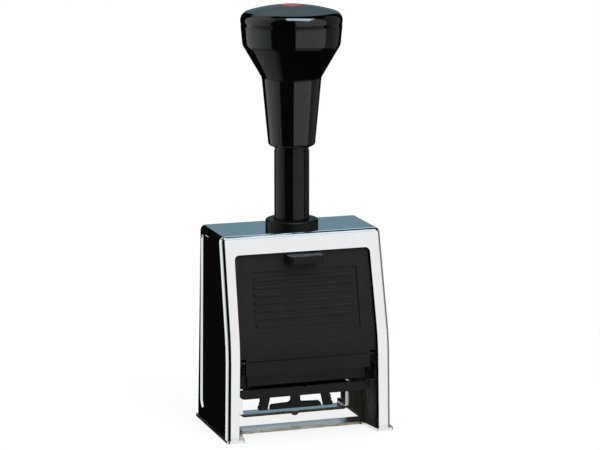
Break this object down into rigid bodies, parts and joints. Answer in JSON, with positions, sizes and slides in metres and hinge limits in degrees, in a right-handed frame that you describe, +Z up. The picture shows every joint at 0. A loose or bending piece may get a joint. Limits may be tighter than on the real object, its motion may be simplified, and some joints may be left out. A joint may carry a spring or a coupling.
{
  "type": "numbering machine",
  "caption": "Hand-operated self-inking numbering machine: a sprung plunger with a palm knob, number wheels in a carriage, a swinging ink pad and a hinged front cover in a sheet housing",
  "frame": {"origin": "centre of the base flange's rectangle, on the table", "axes": "+X to the machine's right as its front cover is faced, +Y to the rear, +Z up along the stem"},
  "size_m": [0.0604, 0.0404, 0.1477],
  "materials": {
    "chrome": "bright plated sheet, finely polished",
    "knob_plastic": "polished moulding",
    "black_enamel": "glossy black enamel",
    "cover_plastic": "fine matte moulding",
    "rail_plastic": "plain moulding",
    "red_plastic": "glossy inlay",
    "ink_felt": "dense felt soaked with dark ink",
    "steel": "machined and lightly oiled",
    "wheel_steel": "cut type steel, lightly oiled",
    "brass": "turned brass"
  },
  "bodies": {
    "frame": {"housing": "chrome", "base_plate": "chrome", "collar_bush": "black_enamel", "collar_nut": "steel", "guide_rail_left": "rail_plastic", "guide_rail_right": "rail_plastic", "rail_screws": "steel", "cross_bar": "steel", "spring_seat": "steel", "return_spring": "steel", "front_bracket": "cover_plastic", "cover_hinge_pins": "steel"},
    "plunger": {"stem_tube": "black_enamel", "stem_plug": "brass", "stem_nut": "steel", "knob_grip": "knob_plastic", "knob_cap": "knob_plastic", "knob_button": "red_plastic", "knob_screw": "steel", "bridge": "steel", "carriage_side_left": "steel", "carriage_side_right": "steel", "guide_shoe_left": "steel", "guide_shoe_right": "steel", "side_screws": "steel", "wheel_axle": "steel", "axle_clips": "steel", "spacer_bushes": "brass", "detent_comb": "steel", "bail_pivot_pins": "steel"},
    "pad_frame": {"pad_bail": "chrome", "bail_roller": "steel", "pad_cassette": "cover_plastic", "cassette_handle": "cover_plastic", "ink_pad": "ink_felt"},
    "rocker": {"pawl_rocker": "steel", "pawl_shaft": "steel", "pawl_comb": "steel", "pawl_spring": "steel"},
    "cover": {"front_cover": "cover_plastic"},
    "wheel_1": {"number_wheel_1": "wheel_steel", "ratchet_wheel_1": "wheel_steel"},
    "wheel_2": {"number_wheel_2": "wheel_steel", "ratchet_wheel_2": "wheel_steel"},
    "wheel_3": {"number_wheel_3": "wheel_steel", "ratchet_wheel_3": "wheel_steel"},
    "wheel_4": {"number_wheel_4": "wheel_steel", "ratchet_wheel_4": "wheel_steel"},
    "wheel_5": {"number_wheel_5": "wheel_steel", "ratchet_wheel_5": "wheel_steel"},
    "wheel_6": {"number_wheel_6": "wheel_steel", "ratchet_wheel_6": "wheel_steel"}
  },
  "joints": [
    {"name": "plunger_slide", "type": "slide", "parent": "frame", "child": "plunger", "axis": [0, 0, -1], "range_m": [0, 0.0172], "stiffness_N_per_m": 500, "springref_m": -0.016, "deforming": ["return_spring"]},
    {"name": "pad_bail_swing", "type": "hinge", "parent": "plunger", "child": "pad_frame", "pos_m": [0, 0.0017, 0.032], "axis": [1, 0, 0], "range_deg": [0, 120.5]},
    {"name": "pawl_rocker_swing", "type": "hinge", "parent": "plunger", "child": "rocker", "pos_m": [0, 0.0017, 0.0265], "axis": [1, 0, 0], "range_deg": [0, 37.1]},
    {"name": "front_cover_tilt", "type": "hinge", "parent": "frame", "child": "cover", "pos_m": [0, -0.0149, 0.0268], "axis": [1, 0, 0], "range_deg": [0, 75]},
    {"name": "number_wheel_1_spin", "type": "hinge", "parent": "plunger", "child": "wheel_1", "pos_m": [0, 0.0017, 0.0265], "axis": [1, 0, 0], "continuous": true},
    {"name": "number_wheel_2_spin", "type": "hinge", "parent": "plunger", "child": "wheel_2", "pos_m": [0, 0.0017, 0.0265], "axis": [1, 0, 0], "continuous": true},
    {"name": "number_wheel_3_spin", "type": "hinge", "parent": "plunger", "child": "wheel_3", "pos_m": [0, 0.0017, 0.0265], "axis": [1, 0, 0], "continuous": true},
    {"name": "number_wheel_4_spin", "type": "hinge", "parent": "plunger", "child": "wheel_4", "pos_m": [0, 0.0017, 0.0265], "axis": [1, 0, 0], "continuous": true},
    {"name": "number_wheel_5_spin", "type": "hinge", "parent": "plunger", "child": "wheel_5", "pos_m": [0, 0.0017, 0.0265], "axis": [1, 0, 0], "continuous": true},
    {"name": "number_wheel_6_spin", "type": "hinge", "parent": "plunger", "child": "wheel_6", "pos_m": [0, 0.0017, 0.0265], "axis": [1, 0, 0], "continuous": true}
  ],
  "couplings": [
    {"joint": "pad_bail_swing", "follows": "plunger_slide", "rad_per_m": 122.17},
    {"joint": "pawl_rocker_swing", "follows": "plunger_slide", "rad_per_m": 37.545}
  ]
}
